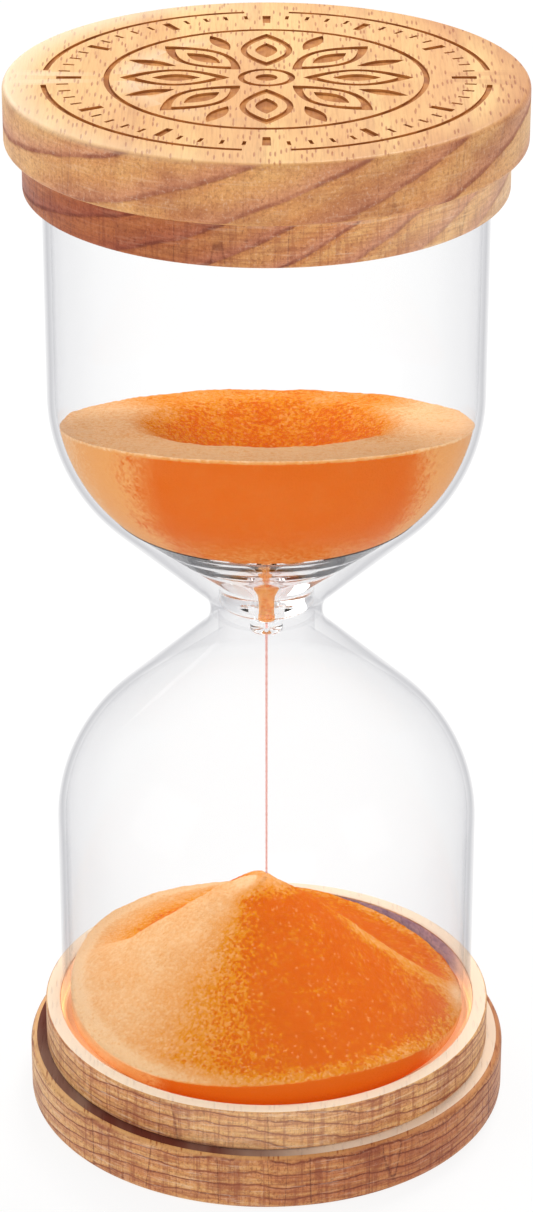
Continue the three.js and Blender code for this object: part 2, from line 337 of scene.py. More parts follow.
def beech(name, pith, period, seed, wander=1.0, unbroken=0.3, late_strength=0.75, hatch=0.3, lit_step_paleness=0.0):
    """Beech with its grain along Y. pith is the (x, z) of the tree's centre, in millimetres.

    wander is how far the yearly rings stray, unbroken how whole their lines are from 0 to 1, and hatch how
    strongly the turned sides are streaked.
    Vertex attributes say where it is redder, partly for painted shade, where it is painted paler for light falling
    on it, and where a painted shadow darkens a step.
    """
    tree = Tree(name)
    phase, own = growth_rings(tree, pith, period, wander)
    late = tree.math("POWER", tree.smooth(phase, 0.3, 0.97), 1.6)
    line = tree.math("MAXIMUM", tree.smooth(phase, 0.86, 0.96), tree.smooth(phase, 0.0, 0.06, 1.0, 0.0))
    patches = tree.noise(tree.millimetres((0.1, 0.1, 0.25)), 1.3 + seed * 0.07, 4.0, 0.7)
    broken = tree.math("MULTIPLY", tree.smooth(own, 0.0, 1.0, 0.5 + 0.4 * unbroken, 1.0), tree.smooth(patches, 0.4, 0.58, unbroken, 1.0))
    line = tree.math("MULTIPLY", line, broken)

    normal = tree.add("SeparateXYZ", {0: tree.add("NewGeometry").outputs["Normal"]})
    flat = tree.smooth(tree.math("ABSOLUTE", normal.outputs["Z"]), 0.5, 0.95)
    end = tree.smooth(tree.math("ABSOLUTE", normal.outputs["Y"]), 0.2, 0.9)
    side = tree.math("SUBTRACT", 1.0, flat)

    bands = tree.noise(tree.millimetres((0.11, 0.02, 0.11)), 1.0 + seed * 0.03, 3.0)
    colour = tree.mix(tree.smooth(bands, 0.35, 0.68), HONEY, WARM)
    colour = tree.mix(tree.math("MULTIPLY", end, 0.8), colour, END_GRAIN, "MULTIPLY")
    on_side = tree.smooth(flat, 0.0, 1.0, 1.0, 0.2)
    line = tree.math("MULTIPLY", line, on_side)
    colour = tree.mix(tree.math("MULTIPLY", tree.math("MULTIPLY", late, on_side), late_strength), colour, LATE_WOOD)
    shadow = tree.noise(tree.millimetres((0.09, 0.09, 0.14)), 1.0 + seed * 0.11, 3.0, 0.6)
    colour = tree.mix(tree.math("MULTIPLY", tree.smooth(shadow, 0.45, 0.68, 0.0, 0.45), side), colour, GROWTH_LINE)
    line_colour = tree.mix(hatch, GROWTH_LINE, DARK_LINE)
    colour = tree.mix(tree.math("MULTIPLY", line, 0.92), colour, line_colour)
    # Painted highlight: a honey band beside each growth line on the sides.
    painted_lip_highlight = tree.math("MULTIPLY", tree.smooth(phase, 0.1, 0.22), tree.smooth(phase, 0.5, 0.3))
    colour = tree.mix(tree.math("MULTIPLY", tree.math("MULTIPLY", painted_lip_highlight, side), 0.5 * hatch), colour, HONEY)

    fibres = tree.noise(tree.millimetres((2.6, 0.12, 2.6)), 1.0, 4.0, 0.65)
    colour = tree.mix(tree.smooth(fibres, 0.4, 0.75, 0.0, 0.3), colour, GROWTH_LINE)

    cells = tree.voronoi(tree.millimetres((1.5, 0.21, 1)), voronoi_dimensions="2D")
    kept = tree.smooth(tree.add("SeparateColor", {0: cells.outputs["Color"]}).outputs[0], 0.3, 0.5)
    dash = tree.math("MULTIPLY", tree.smooth(cells.outputs["Distance"], 0.12, 0.27, 1.0, 0.0), kept)
    dash = tree.math("MULTIPLY", dash, flat)
    colour = tree.mix(tree.math("MULTIPLY", dash, 0.8), colour, FLECK)

    mottle = tree.noise(tree.millimetres((1, 1, 0.8)), 2.4, 3.0, 0.75)
    coarse = 0.35 + 0.3 * hatch
    colour = tree.mix(tree.math("MULTIPLY", tree.smooth(mottle, 0.5, 0.72, 0.0, coarse), side), colour, DARK_LINE)
    colour = tree.mix(tree.math("MULTIPLY", tree.smooth(mottle, 0.46, 0.3, 0.0, 0.2), side), colour, FRESH_CUT)

    columns = tree.noise(tree.millimetres((1.1, 1.1, 0.06)), 1.0, 3.0, 0.7)
    rows = tree.noise(tree.millimetres((0.14, 0.14, 2.0)), 1.0, 3.0, 0.7)
    for streaks, low, pale_share in ((columns, 0.5, 0.08), (rows, 0.48, 0.28)):
        dark = tree.math("MULTIPLY", tree.smooth(streaks, low, 0.64, 0.0, 0.6 * hatch), side)
        light = tree.math("MULTIPLY", tree.smooth(streaks, low - 0.04, 0.34, 0.0, pale_share * hatch), side)
        colour = tree.mix(dark, colour, GROWTH_LINE)
        colour = tree.mix(light, colour, FRESH_CUT)
    uprights = tree.noise(tree.millimetres((0.16, 0.16, 0.012)), 1.0, 1.5)
    upright = tree.math("ABSOLUTE", tree.math("SUBTRACT", uprights, 0.5))
    mark = tree.math("MULTIPLY", tree.smooth(upright, 0.0, 0.007, 1.0, 0.0), side)
    mark = tree.math("MULTIPLY", mark, tree.smooth(rows, 0.4, 0.55, 0.3, 1.0))
    colour = tree.mix(tree.math("MULTIPLY", mark, 0.85 * hatch), colour, DARK_LINE)

    # Painted light: paler where light falls on the top face's left and the top collar's right.
    painted_light = tree.add("Attribute", attribute_name="painted_light").outputs["Fac"]
    colour = tree.mix(painted_light, colour, PAINTED_LIGHT_CREAM)
    # Redder wood, and painted shade on the top collar's left.
    red = tree.add("Attribute", attribute_name="red").outputs["Fac"]
    colour = tree.mix(red, colour, REDDENED_AND_SHADED, "MULTIPLY")
    # Step faces: mixed towards cream, partly bare turned wood and partly a painted highlight.
    if lit_step_paleness:
        # Painted shadow: the step darkens where the collar shades it along its left front.
        step_shadow = tree.add("Attribute", attribute_name="step_shadow").outputs["Fac"]
        patchy_step_shadow = tree.math("MULTIPLY", step_shadow, tree.smooth(bands, 0.2, 0.6, 0.75, 1.0))
        colour = tree.mix(lit_step_paleness, colour, FRESH_CUT)
        colour = tree.mix(patchy_step_shadow, colour, STEP_SHADOW_BROWN)

    relief = tree.math("ADD", tree.math("MULTIPLY", fibres, 0.5), tree.math("MULTIPLY", line, -0.5))
    relief = tree.math("ADD", relief, tree.math("MULTIPLY", dash, -0.6))
    relief = tree.math("ADD", relief, tree.math("MULTIPLY", mark, -0.5))
    relief = tree.math("ADD", relief, tree.math("MULTIPLY", tree.math("MULTIPLY", mottle, side), 0.5))
    hatching = tree.math("MULTIPLY", tree.math("ADD", columns, rows), side)
    relief = tree.math("ADD", relief, tree.math("MULTIPLY", hatching, -hatch))
    smoothest = 0.7 if lit_step_paleness else 0.42
    tree.principled(
        Base_Color=colour,
        Roughness=tree.smooth(tree.math("ADD", fibres, line), 0.2, 1.4, smoothest, smoothest + 0.2),
        Specular_IOR_Level=0.12 if lit_step_paleness else 0.25,
        Normal=tree.bump(relief, 0.12 * MM, 0.7),
    )
    return tree.material


def burnt_beech():
    """The floor and sides of the engraving."""
    tree = Tree("burnt_beech")
    fibres = tree.noise(tree.millimetres((2.2, 0.15, 2.2)), 1.0, 3.0, 0.6)
    painted_step_shadow = tree.noise(tree.millimetres(), 0.35, 2.0)
    colour = tree.mix(tree.smooth(painted_step_shadow, 0.35, 0.65), BURNT, BURNT_DEEP)
    colour = tree.mix(tree.smooth(fibres, 0.45, 0.75, 0.0, 0.6), colour, BURNT_DEEP)
    tree.principled(
        Base_Color=colour,
        Roughness=tree.smooth(fibres, 0.3, 0.7, 0.6, 0.8),
        Specular_IOR_Level=0.25,
        Normal=tree.bump(fibres, 0.08 * MM, 0.6),
    )
    return tree.material


# ---- Caps ----

EDGE_RADIUS = 0.9 * MM
COLLAR_EDGE_RADIUS = 0.35 * MM
CAP_SIDES = 192


def disc_section():
    shoulder = DISC_RADIUS - EDGE_RADIUS
    return [
        (DISC_RADIUS * 0.5, 0.0),
        *arc(shoulder, EDGE_RADIUS, EDGE_RADIUS, -90, 0, 6),
        *arc(shoulder, DISC_THICKNESS - EDGE_RADIUS, EDGE_RADIUS, 0, 90, 6),
        (GLASS_RADIUS, DISC_THICKNESS),
        (GLASS_RADIUS, SPIGOT_TOP),
        (DISC_RADIUS * 0.5, SPIGOT_TOP),
    ]


def collar_section():
    bore = GLASS_RADIUS + GAP
    base = DISC_THICKNESS + GLUE_LINE / 4
    edge = COLLAR_EDGE_RADIUS
    return [
        (bore, base),
        *arc(COLLAR_RADIUS - edge, base + edge, edge, -90, 0, 3),
        *arc(COLLAR_RADIUS - edge, CAP_DEPTH - edge, edge, 0, 90, 4),
        *arc(bore + edge, CAP_DEPTH - edge, edge, 90, 180, 4),
    ]


def paint_step_faces(obj, inner, outer, slot_index):
    """Puts the flat step faces between two radii in another slot, whose paler wood is partly bare turned wood and
    partly a painted highlight for light on the upward steps.
    """
    for polygon in obj.data.polygons:
        radius = math.hypot(polygon.center.x, polygon.center.y)
        if abs(polygon.normal.z) > 0.8 and inner < radius < outer:
            polygon.material_index = slot_index


# ---- Engraving on the top face: a generic dial of ticks round a petal rosette ----

ENGRAVING_DEPTH = 0.35 * MM
LINE_WIDTH = 0.75 * MM
FRAME_RING_RADIUS = 30.4 * MM
TICK_OUTER_RADIUS = 28.6 * MM
TICK_COUNT = 60
ROSETTE_RADIUS = 20 * MM
PETALS = 8


def polar(radius, angle):
    return (radius * math.sin(angle), radius * math.cos(angle))


class Cutter:
    """Collects upright prisms that are taken out of the top face together."""

    def __init__(self):
        self.vertices = []
        self.faces = []
        self.low = HEIGHT - ENGRAVING_DEPTH
        self.high = HEIGHT + 1 * MM

    def loop(self, outline, height):
        start = len(self.vertices)
        self.vertices += [(x, y, height) for x, y in outline]
        return [start + index for index in range(len(outline))]

    def walls(self, low, high):
        for index in range(len(low)):
            following = (index + 1) % len(low)
            self.faces.append((low[index], low[following], high[following], high[index]))

    def solid(self, outline):
        """outline runs anticlockwise."""
        low = self.loop(outline, self.low)
        high = self.loop(outline, self.high)
        self.walls(low, high)
        self.faces.append(low[::-1])
        self.faces.append(high)

    def band(self, outer, inner):
        """Two outlines with as many points each, both anticlockwise."""
        outer_low, outer_high = self.loop(outer, self.low), self.loop(outer, self.high)
        inner_low, inner_high = self.loop(inner, self.low), self.loop(inner, self.high)
        self.walls(outer_low, outer_high)
        self.walls(inner_low[::-1], inner_high[::-1])
        for index in range(len(outer)):
            following = (index + 1) % len(outer)
            self.faces.append(
                (outer_high[index], outer_high[following], inner_high[following], inner_high[index])
            )
            self.faces.append(
                (outer_low[following], outer_low[index], inner_low[index], inner_low[following])
            )


def circle(radius, steps=120):
    return [polar(radius, -FULL_TURN * step / steps) for step in range(steps)]


def arc_stroke(radius, width, centre_angle, half_angle, steps=40):
    """Outline of a curved stroke with square ends."""
    angles = [centre_angle + half_angle * (1 - 2 * step / steps) for step in range(steps + 1)]
    outer = [polar(radius + width / 2, a) for a in angles]
    inner = [polar(radius - width / 2, a) for a in reversed(angles)]
    return outer + inner


def petal(inner_radius, outer_radius, half_width, angle, steps=20):
    """Outline of a pointed petal that lies along a radius."""
    shares = [step / steps for step in range(steps + 1)]
    side = [
        (half_width * math.sin(math.pi * s) ** 0.9, inner_radius + (outer_radius - inner_radius) * s)
        for s in shares
    ]
    outline = side + [(-x, y) for x, y in reversed(side[1:-1])]
    cosine, sine = math.cos(angle), math.sin(angle)
    return [(x * cosine + y * sine, -x * sine + y * cosine) for x, y in outline]


def add_dial(cutter):
    for quarter in range(4):
        centre = FULL_TURN * (quarter + 0.5) / 4
        cutter.solid(arc_stroke(FRAME_RING_RADIUS, LINE_WIDTH, centre, math.radians(39)))
    for tick in range(TICK_COUNT):
        long = tick % 5 == 0
        length = (3.4 if long else 1.6) * MM
        width = (1.1 if long else 0.5) * MM
        radius = TICK_OUTER_RADIUS - length / 2
        angle = FULL_TURN * tick / TICK_COUNT
        cutter.solid(arc_stroke(radius, length, angle, width / 2 / radius, 2))


def add_rosette(cutter):
    cutter.band(circle(ROSETTE_RADIUS + 2.2 * MM), circle(ROSETTE_RADIUS + 1.4 * MM))
    for index in range(PETALS):
        angle = FULL_TURN * index / PETALS
        tip = ROSETTE_RADIUS
        outer = petal(5 * MM, tip, 3.6 * MM, angle)
        inner = petal(6.9 * MM, tip - 2.1 * MM, 2.75 * MM, angle)
        cutter.band(outer, inner)
        cutter.solid(petal(9 * MM, tip - 4.4 * MM, 1.5 * MM, angle))
        between = angle + FULL_TURN / PETALS / 2
        cutter.solid(petal(13.4 * MM, tip + 0.6 * MM, 1.15 * MM, between))
    cutter.band(circle(3.9 * MM, 60), circle(3.1 * MM, 60))
    cutter.solid(circle(1.5 * MM, 40))


def engrave(obj):
    cutter = Cutter()
    add_dial(cutter)
    add_rosette(cutter)
    tool = new_object("engraving_tool", cutter.vertices, cutter.faces)
    for polygon in tool.data.polygons:
        polygon.material_index = 1
    for material in obj.data.materials:
        tool.data.materials.append(material)
    cut = obj.modifiers.new("engraving", "BOOLEAN")
    cut.operation = "DIFFERENCE"
    cut.solver = "EXACT"
    cut.object = tool
    evaluated = obj.evaluated_get(bpy.context.evaluated_depsgraph_get())
    mesh = bpy.data.meshes.new_from_object(evaluated)
    obj.modifiers.clear()
    obj.data = mesh
    bpy.data.objects.remove(tool)


def make_caps():
    boards = {
        "top_disc": dict(pith=(-100, 400), period=5.8, seed=1, wander=0.4, unbroken=0.4, hatch=0.3),
        "top_collar": dict(pith=(-70, 290), period=4.3, seed=2, wander=0.5, late_strength=1.0, hatch=0.6),
        "bottom_disc": dict(pith=(12, -260), period=2.0, seed=3, unbroken=0.8, late_strength=0.5, hatch=0.9),
        "bottom_collar": dict(pith=(-20, -240), period=1.8, seed=4, unbroken=0.8, late_strength=0.45, hatch=0.9),
    }
    burnt, film = burnt_beech(), glowing_bore_film()
    for name, board in boards.items():
        top = name.startswith("top")
        disc = name.endswith("disc")
        section = disc_section() if disc else collar_section()
        section = flipped(section) if top else section
        obj = turned(name + "_wood", constant(section), CAP_SIDES, ring=not disc)
        materials = [beech(name + "_beech", **board), burnt, beech(name + "_step", **board, lit_step_paleness=0.8), film]
        # Redder wood and painted shade on the boards.
        paint(obj, "red", redness_and_shade(top, disc))
        # Painted light on the boards.
        paint(obj, "painted_light", painted_light_paleness(top, disc))
        # Painted shadow on the bottom step's left front.
        paint(obj, "step_shadow", lambda p: 0.0 if top else painted_step_shadow(p))
        place(obj, name, "beech", *materials)
        if disc:
            paint_step_faces(obj, GLASS_RADIUS, DISC_RADIUS - EDGE_RADIUS, 2)
            if top:
                restore_top_face(obj)
                engrave(obj)
        else:
            # Painted shade at the back right of the bore; elsewhere the film glows.
            paint(obj, "shaded_back_right", back_right_shade)
            paint_step_faces(obj, GLASS_RADIUS, COLLAR_RADIUS - COLLAR_EDGE_RADIUS / 2, 2)
            paint_bore(obj, 3)
        finish_shading(obj)


def redness_and_shade(top, disc):
    """How red each place is, partly painted shade: the top collar's left is darker and redder for the shade under
    the top disc; the top disc's right, most on its face, the bottom disc's right and the bottom collar's flanks are
    redder.
    """
    def value_at(point):
        sideways = point.x / DISC_RADIUS
        if top and disc:
            on_face = smoothstep(HEIGHT - EDGE_RADIUS, HEIGHT, point.z)
            return 0.1 + (0.15 + 0.25 * on_face) * smoothstep(0.2, 1.0, sideways)
        if top:
            return 0.05 + 0.95 * smoothstep(0.35, -0.6, sideways)
        if disc:
            return 0.25 + 0.5 * smoothstep(-0.5, 0.7, sideways)
        return 0.05 + 0.2 * abs(sideways)
    return value_at


def painted_light_paleness(top, disc):
    """Painted light, as how pale each place is: the top face is paler to its left, most at the back, for a painted
    sheen; the top collar is paler to its right for painted light; the bottom collar is a little paler in the middle
    of its front and back.
    """
    def value_at(point):
        sideways = point.x / DISC_RADIUS
        if top and disc:
            on_face = smoothstep(HEIGHT - EDGE_RADIUS, HEIGHT, point.z)
            away = smoothstep(-0.8, 0.1, point.y / DISC_RADIUS)
            return on_face * (0.3 + 0.4 * away) * smoothstep(0.1, -0.8, sideways)
        if top:
            return 0.2 * smoothstep(0.2, 0.8, sideways)
        if disc:
            return 0.0
        return 0.1 * smoothstep(0.6, 0.1, abs(sideways))
    return value_at


def painted_step_shadow(point):
    """Painted shadow: the step round the bottom collar is dark along its left front, where the collar shades it."""
    radius = math.hypot(point.x, point.y)
    towards = (-0.93 * point.x - 0.37 * point.y) / radius
    return smoothstep(-0.05, 0.55, towards) if point.z < DISC_THICKNESS + MM else 0.0


def back_right_shade(point):
    """Painted shade mask for a collar's bore: rises to 1 at the back right, where the film is dark purple, and is 0
    elsewhere, where it glows pale.
    """
    radius = math.hypot(point.x, point.y)
    towards = (0.67 * point.x + 0.74 * point.y) / radius
    return smoothstep(0.8, 0.93, towards)


def paint_bore(obj, slot_index):
    for polygon in obj.data.polygons:
        radius = math.hypot(polygon.center.x, polygon.center.y)
        if radius < GLASS_RADIUS + 1.5 * GAP and abs(polygon.normal.z) < 0.5:
            polygon.material_index = slot_index


# Colours of the film's painted glow: pale in its lit part, dim in its painted shade.
GLOW_PALE = rgb(250, 205, 158)
GLOW_DIM = rgb(120, 100, 110)


def glowing_bore_film():
    """A film on the collar's bore with painted light and shade: it glows pale cream, and is dark purple at the back
    right for the shade in the gap behind the glass.
    """
    tree = Tree("glowing_bore_film")
    cloud = tree.noise(tree.millimetres((1, 1, 2)), 0.7, 4.0, 0.7)
    speck = tree.voronoi(tree.millimetres(), 1.6)
    shaded_film = tree.mix(tree.smooth(cloud, 0.35, 0.65), rgb(150, 134, 172), rgb(206, 186, 200))
    shaded_film = tree.mix(tree.smooth(speck.outputs["Distance"], 0.1, 0.5, 0.5, 0.0), shaded_film, rgb(96, 66, 92))
    glowing_film = tree.mix(tree.smooth(cloud, 0.35, 0.65), rgb(255, 240, 222), rgb(250, 226, 200))
    shaded_back_right = tree.add("Attribute", attribute_name="shaded_back_right").outputs["Fac"]
    colour = tree.mix(shaded_back_right, glowing_film, shaded_film)
    tree.principled(
        Base_Color=colour,
        Emission_Color=tree.mix(shaded_back_right, GLOW_PALE, GLOW_DIM),
        Emission_Strength=0.5,
        Roughness=tree.smooth(cloud, 0.3, 0.7, 0.35, 0.6),
        Normal=tree.bump(cloud, 0.1 * MM, 0.5),
    )
    return tree.material


def restore_top_face(obj):
    """The engraved top face is finished wood, unlike the step face under it."""
    for polygon in obj.data.polygons:
        if polygon.center.z > HEIGHT - EDGE_RADIUS:
            polygon.material_index = 0


# ---- Glass ----

# How much light each face of the glass lets through, from face-on (0) to edge-on (1).
OUTER_FACE = [(0, 0.997), (0.2, 0.992), (0.4, 0.978), (0.5, 0.966), (0.6, 0.956), (0.7, 0.92), (0.77, 0.81)]
OUTER_FACE += [(0.82, 0.76), (0.87, 0.84), (0.93, 0.92), (1, 0.95)]
BURIED_FACE = [(0, 0.995), (1, 0.985)]
INNER_FACE = [(0, 0.997), (0.2, 0.992), (0.4, 0.98), (0.5, 0.968), (0.6, 0.96), (0.8, 0.95), (1, 0.93)]


def clear_glass(name, openness):
    """Thin blown glass: it tints and mirrors more the more edge-on it is seen, and doesn't bend light."""
    tree = Tree(name)
    facing = tree.add("LayerWeight", {"Blend": 0.5}).outputs["Facing"]
    stops = [(position, (share, share, share ** 0.93, 1)) for position, share in openness]
    tint = tree.ramp(facing, stops)
    mirrored = tree.math("MULTIPLY_ADD", tree.math("POWER", facing, 4.0), 0.14)
    tree.feed(mirrored.node.inputs[2], 0.005)
    through = tree.add("BsdfTransparent", {"Color": tint})
    mirror = tree.add("BsdfPrincipled", {"Base Color": (0.9, 0.9, 0.92, 1), "Metallic": 1.0, "Roughness": 0.02})
    both = tree.add("MixShader", {0: mirrored, 1: through.outputs[0], 2: mirror.outputs[0]})
    tree.feed(tree.output.inputs[0], both.outputs[0])
    return tree.material


def thick_glass():
    """Solid clear glass that bends light; lamps shine through it."""
    tree = Tree("throat_glass")
    body = tree.principled(
        Base_Color=(0.98, 0.985, 0.99, 1),
        Roughness=0.0,
        IOR=1.4,
        Transmission_Weight=1.0,
    )
    shadow = tree.add("LightPath").outputs["Is Shadow Ray"]
    through = tree.add("BsdfTransparent", {"Color": (0.95, 0.95, 0.96, 1)})
    both = tree.add("MixShader", {0: shadow, 1: body.outputs[0], 2: through.outputs[0]})
    tree.feed(tree.output.inputs[0], both.outputs[0])
    return tree.material


def inner_radius(height):
    """Radius of a bulb's inner wall, above the neck bore."""
    if height <= NECK_BORE_HALF:
        return NECK_BORE_RADIUS
    if height >= SHOULDER_HEIGHT:
        return INNER_RADIUS
    if height >= INNER_CONE_TOP:
        return SHOULDER_CENTRE + math.sqrt(INNER_SHOULDER**2 - (SHOULDER_HEIGHT - height) ** 2)
    cone_radius = SHOULDER_CENTRE + INNER_SHOULDER * math.cos(CONE_ANGLE)
    share = (height - NECK_BORE_HALF) / (INNER_CONE_TOP - NECK_BORE_HALF)
    return NECK_BORE_RADIUS + share * (cone_radius - NECK_BORE_RADIUS)


def bulb_section(hole_radius):
    """One bulb as a ring section, heights from the mid-plane."""
    degrees = math.degrees(CONE_ANGLE)
    end = MIDDLE - GLASS_END
    floor = end - END_WALL
    cone_radius = SHOULDER_CENTRE + SHOULDER_RADIUS * math.cos(CONE_ANGLE)
    cone_top = SHOULDER_HEIGHT - SHOULDER_RADIUS * math.sin(CONE_ANGLE)
    cone_at_middle = cone_radius - cone_top * math.tan(CONE_ANGLE)
    fillet = (WAIST_RADIUS - cone_at_middle) * math.cos(CONE_ANGLE) / (1 - math.cos(CONE_ANGLE))
    seam = 0.02 * MM
    inner_heel = HEEL_RADIUS - END_WALL
    inside = [
        (NECK_BORE_RADIUS, seam),
        (NECK_BORE_RADIUS, NECK_BORE_HALF - 0.6 * MM),
        (NECK_BORE_RADIUS + 0.15 * MM, NECK_BORE_HALF),
        *arc(SHOULDER_CENTRE, SHOULDER_HEIGHT, INNER_SHOULDER, -degrees, 0, 18),
        (INNER_RADIUS, MIDDLE - CAP_DEPTH),
        *arc(INNER_RADIUS - inner_heel, floor - inner_heel, inner_heel, 0, 90, 6),
        (hole_radius, floor),
    ]
    outside = [
        *arc(WAIST_RADIUS + fillet, 0, fillet, 180 - math.degrees(seam / fillet), 180 - degrees, 10),
        *arc(SHOULDER_CENTRE, SHOULDER_HEIGHT, SHOULDER_RADIUS, -degrees, 0, 18),
        (GLASS_RADIUS, MIDDLE - CAP_DEPTH),
        *arc(GLASS_RADIUS - HEEL_RADIUS, end - HEEL_RADIUS, HEEL_RADIUS, 0, 90, 8),
        (hole_radius, end),
    ]
    return inside[::-1] + outside


def eased(points, steps=6):
    """A smooth curve through the points, which keeps both ends."""
    knots = [np.array(p) for p in (points[0], *points, points[-1])]
    curve = []
    for before, start, end, after in zip(knots, knots[1:], knots[2:], knots[3:]):
        for step in range(steps):
            t = step / steps
            cubic = 3 * start - before - 3 * end + after
            square = 2 * before - 5 * start + 4 * end - after
            curve.append(tuple(start + 0.5 * t * (end - before + t * (square + t * cubic))))
    return [*curve, tuple(points[-1])]


def block_section():
    bore = NECK_BORE_RADIUS - 0.1 * MM
    rim = inner_radius(BLOCK_TOP) - 0.15 * MM
    skirt = 0.5 * MM
    return [
        (ORIFICE_RADIUS, ORIFICE_BOTTOM),
        (OUTLET_RADIUS, NIPPLE_BOTTOM + 0.1 * MM),
        *arc(NIPPLE_RADIUS - 0.3 * MM, NIPPLE_BOTTOM + 0.3 * MM, 0.3 * MM, -90, 0, 4),
        *arc(NIPPLE_RADIUS + skirt, BLOCK_BOTTOM - skirt, skirt, 180, 90, 5),
        *arc(bore - 0.7 * MM, BLOCK_BOTTOM + 0.7 * MM, 0.7 * MM, -90, 0, 6),
        (bore, NECK_BORE_HALF - 0.4 * MM),
        (bore + 0.2 * MM, NECK_BORE_HALF + 0.2 * MM),
        (rim, BLOCK_TOP - 0.15 * MM),
        (rim - 0.2 * MM, BLOCK_TOP),
        *eased(BOWL),
        (FEED_RADIUS + 0.9 * MM, FEED_TOP + 3.4 * MM),
        (FEED_RADIUS + 0.25 * MM, FEED_TOP + 1 * MM),
        (FEED_RADIUS, FEED_TOP - 0.5 * MM),
        (FEED_RADIUS, FEED_BOTTOM + 0.3 * MM),
        (ORIFICE_RADIUS, FEED_BOTTOM),
    ]


def make_glass():
    outer = clear_glass("glass_outer_face", OUTER_FACE)
    inner = clear_glass("glass_inner_face", INNER_FACE)
    buried = clear_glass("glass_in_cap", BURIED_FACE)
    upper = turned("upper_bulb_glass", constant(bulb_section(FILL_HOLE_RADIUS)), 160, True, MIDDLE)
    lower_section = [(r, -h) for r, h in reversed(bulb_section(0.4 * MM))]
    lower = turned("lower_bulb_glass", constant(lower_section), 160, True, MIDDLE)
    block = turned("throat_block_glass", constant(block_section()), 128, True, MIDDLE)
    for obj, node in ((upper, "upper_bulb"), (lower, "lower_bulb")):
        place(obj, node, "glass", outer, inner, buried)
        for polygon in obj.data.polygons:
            outward = polygon.normal.x * polygon.center.x + polygon.normal.y * polygon.center.y
            polygon.material_index = 0 if outward > 0 else 1
            beside_block = outward <= 0 and 0 < polygon.center.z - MIDDLE < BLOCK_TOP
            if beside_block or not CAP_DEPTH < polygon.center.z < HEIGHT - CAP_DEPTH:
                polygon.material_index = 2
    place(block, "throat_block", "glass", thick_glass())
    for obj in (upper, lower, block):
        finish_shading(obj)


# ---- Soft pieces hidden in the caps ----

def silicone():
    tree = Tree("silicone")
    cloud = tree.noise(tree.millimetres(), 0.6, 3.0)
    colour = tree.mix(cloud, rgb(206, 203, 208), rgb(226, 224, 226))
    tree.principled(
        Base_Color=colour,
        Roughness=tree.smooth(cloud, 0.3, 0.7, 0.32, 0.5),
        Subsurface_Weight=0.15,
        Subsurface_Scale=1 * MM,
        Normal=tree.bump(cloud, 0.2 * MM, 0.4),
    )
    return tree.material


def glowing_bead_silicone():
    """The beads round the heels of the glass, with painted light: sand-coloured, and glowing on their left and
    right flanks, where they show through the glass.
    """
    tree = Tree("glowing_bead_silicone")
    cloud = tree.noise(tree.millimetres(), 0.6, 3.0)
    glow_share = tree.add("Attribute", attribute_name="glow_share").outputs["Fac"]
    tree.principled(
        Base_Color=tree.mix(cloud, rgb(246, 204, 160), rgb(250, 216, 178)),
        Emission_Color=tree.mix(glow_share, rgb(30, 22, 16), rgb(255, 198, 148)),
        Emission_Strength=0.4,
        Roughness=tree.smooth(cloud, 0.3, 0.7, 0.32, 0.5),
        Normal=tree.bump(cloud, 0.2 * MM, 0.4),
    )
    return tree.material


def foam():
    tree = Tree("foam")
    cells = tree.voronoi(tree.millimetres(), 2.2)
    shade = tree.smooth(cells.outputs["Distance"], 0.1, 0.6)
    colour = tree.mix(shade, rgb(205, 198, 186), rgb(238, 233, 224))
    tree.principled(
        Base_Color=colour,
        Roughness=tree.smooth(shade, 0.0, 1.0, 0.95, 0.85),
        Normal=tree.bump(shade, 0.15 * MM, 0.8),
    )
    return tree.material


def make_soft_pieces():
    rubbery, glowing, spongy = silicone(), glowing_bead_silicone(), foam()
    edge = 0.3 * MM
    hole = 7.5 * MM
    low, high, outer = cushion_low.z, cushion_high.z, cushion_high.x
    cushion = [
        *arc(hole + edge, low + edge, edge, 180, 270, 3),
        *arc(outer - edge, low + edge, edge, -90, 0, 3),
        *arc(outer - edge, high - edge, edge, 0, 90, 3),
        *arc(hole + edge, high - edge, edge, 90, 180, 3),
    ]
    heel_height = GLASS_END + HEEL_RADIUS
    bead_radius = HEEL_RADIUS + 0.12 * MM
    top_angle = math.degrees(math.asin((bond_high.z - heel_height) / bead_radius))
    bond = [
        (outer + 0.3 * MM, bond_low.z),
        (GLASS_RADIUS, bond_low.z),
        (GLASS_RADIUS + 0.1 * MM, bond_high.z - 0.3 * MM),
        (GLASS_RADIUS - 0.1 * MM, bond_high.z),
        *arc(GLASS_RADIUS - HEEL_RADIUS, heel_height, bead_radius, top_angle, -90, 10),
        (outer + 0.3 * MM, heel_height - bead_radius),
    ]
    for end, turn in (("bottom", lambda section: section), ("top", flipped)):
        pad = turned(end + "_cushion_foam", constant(turn(cushion)), 96, True)
        bead = turned(end + "_bond_bead", constant(turn(bond)), 128, True)
        place(pad, end + "_cushion", "foam", spongy)
        # Painted glow on the beads' left and right flanks.
        paint(bead, "glow_share", lambda p: smoothstep(0.55, 0.85, abs(p.x) / GLASS_RADIUS))
        place(bead, end + "_bond", "silicone", glowing)
        finish_shading(pad)
        finish_shading(bead)
    make_stopper(rubbery)


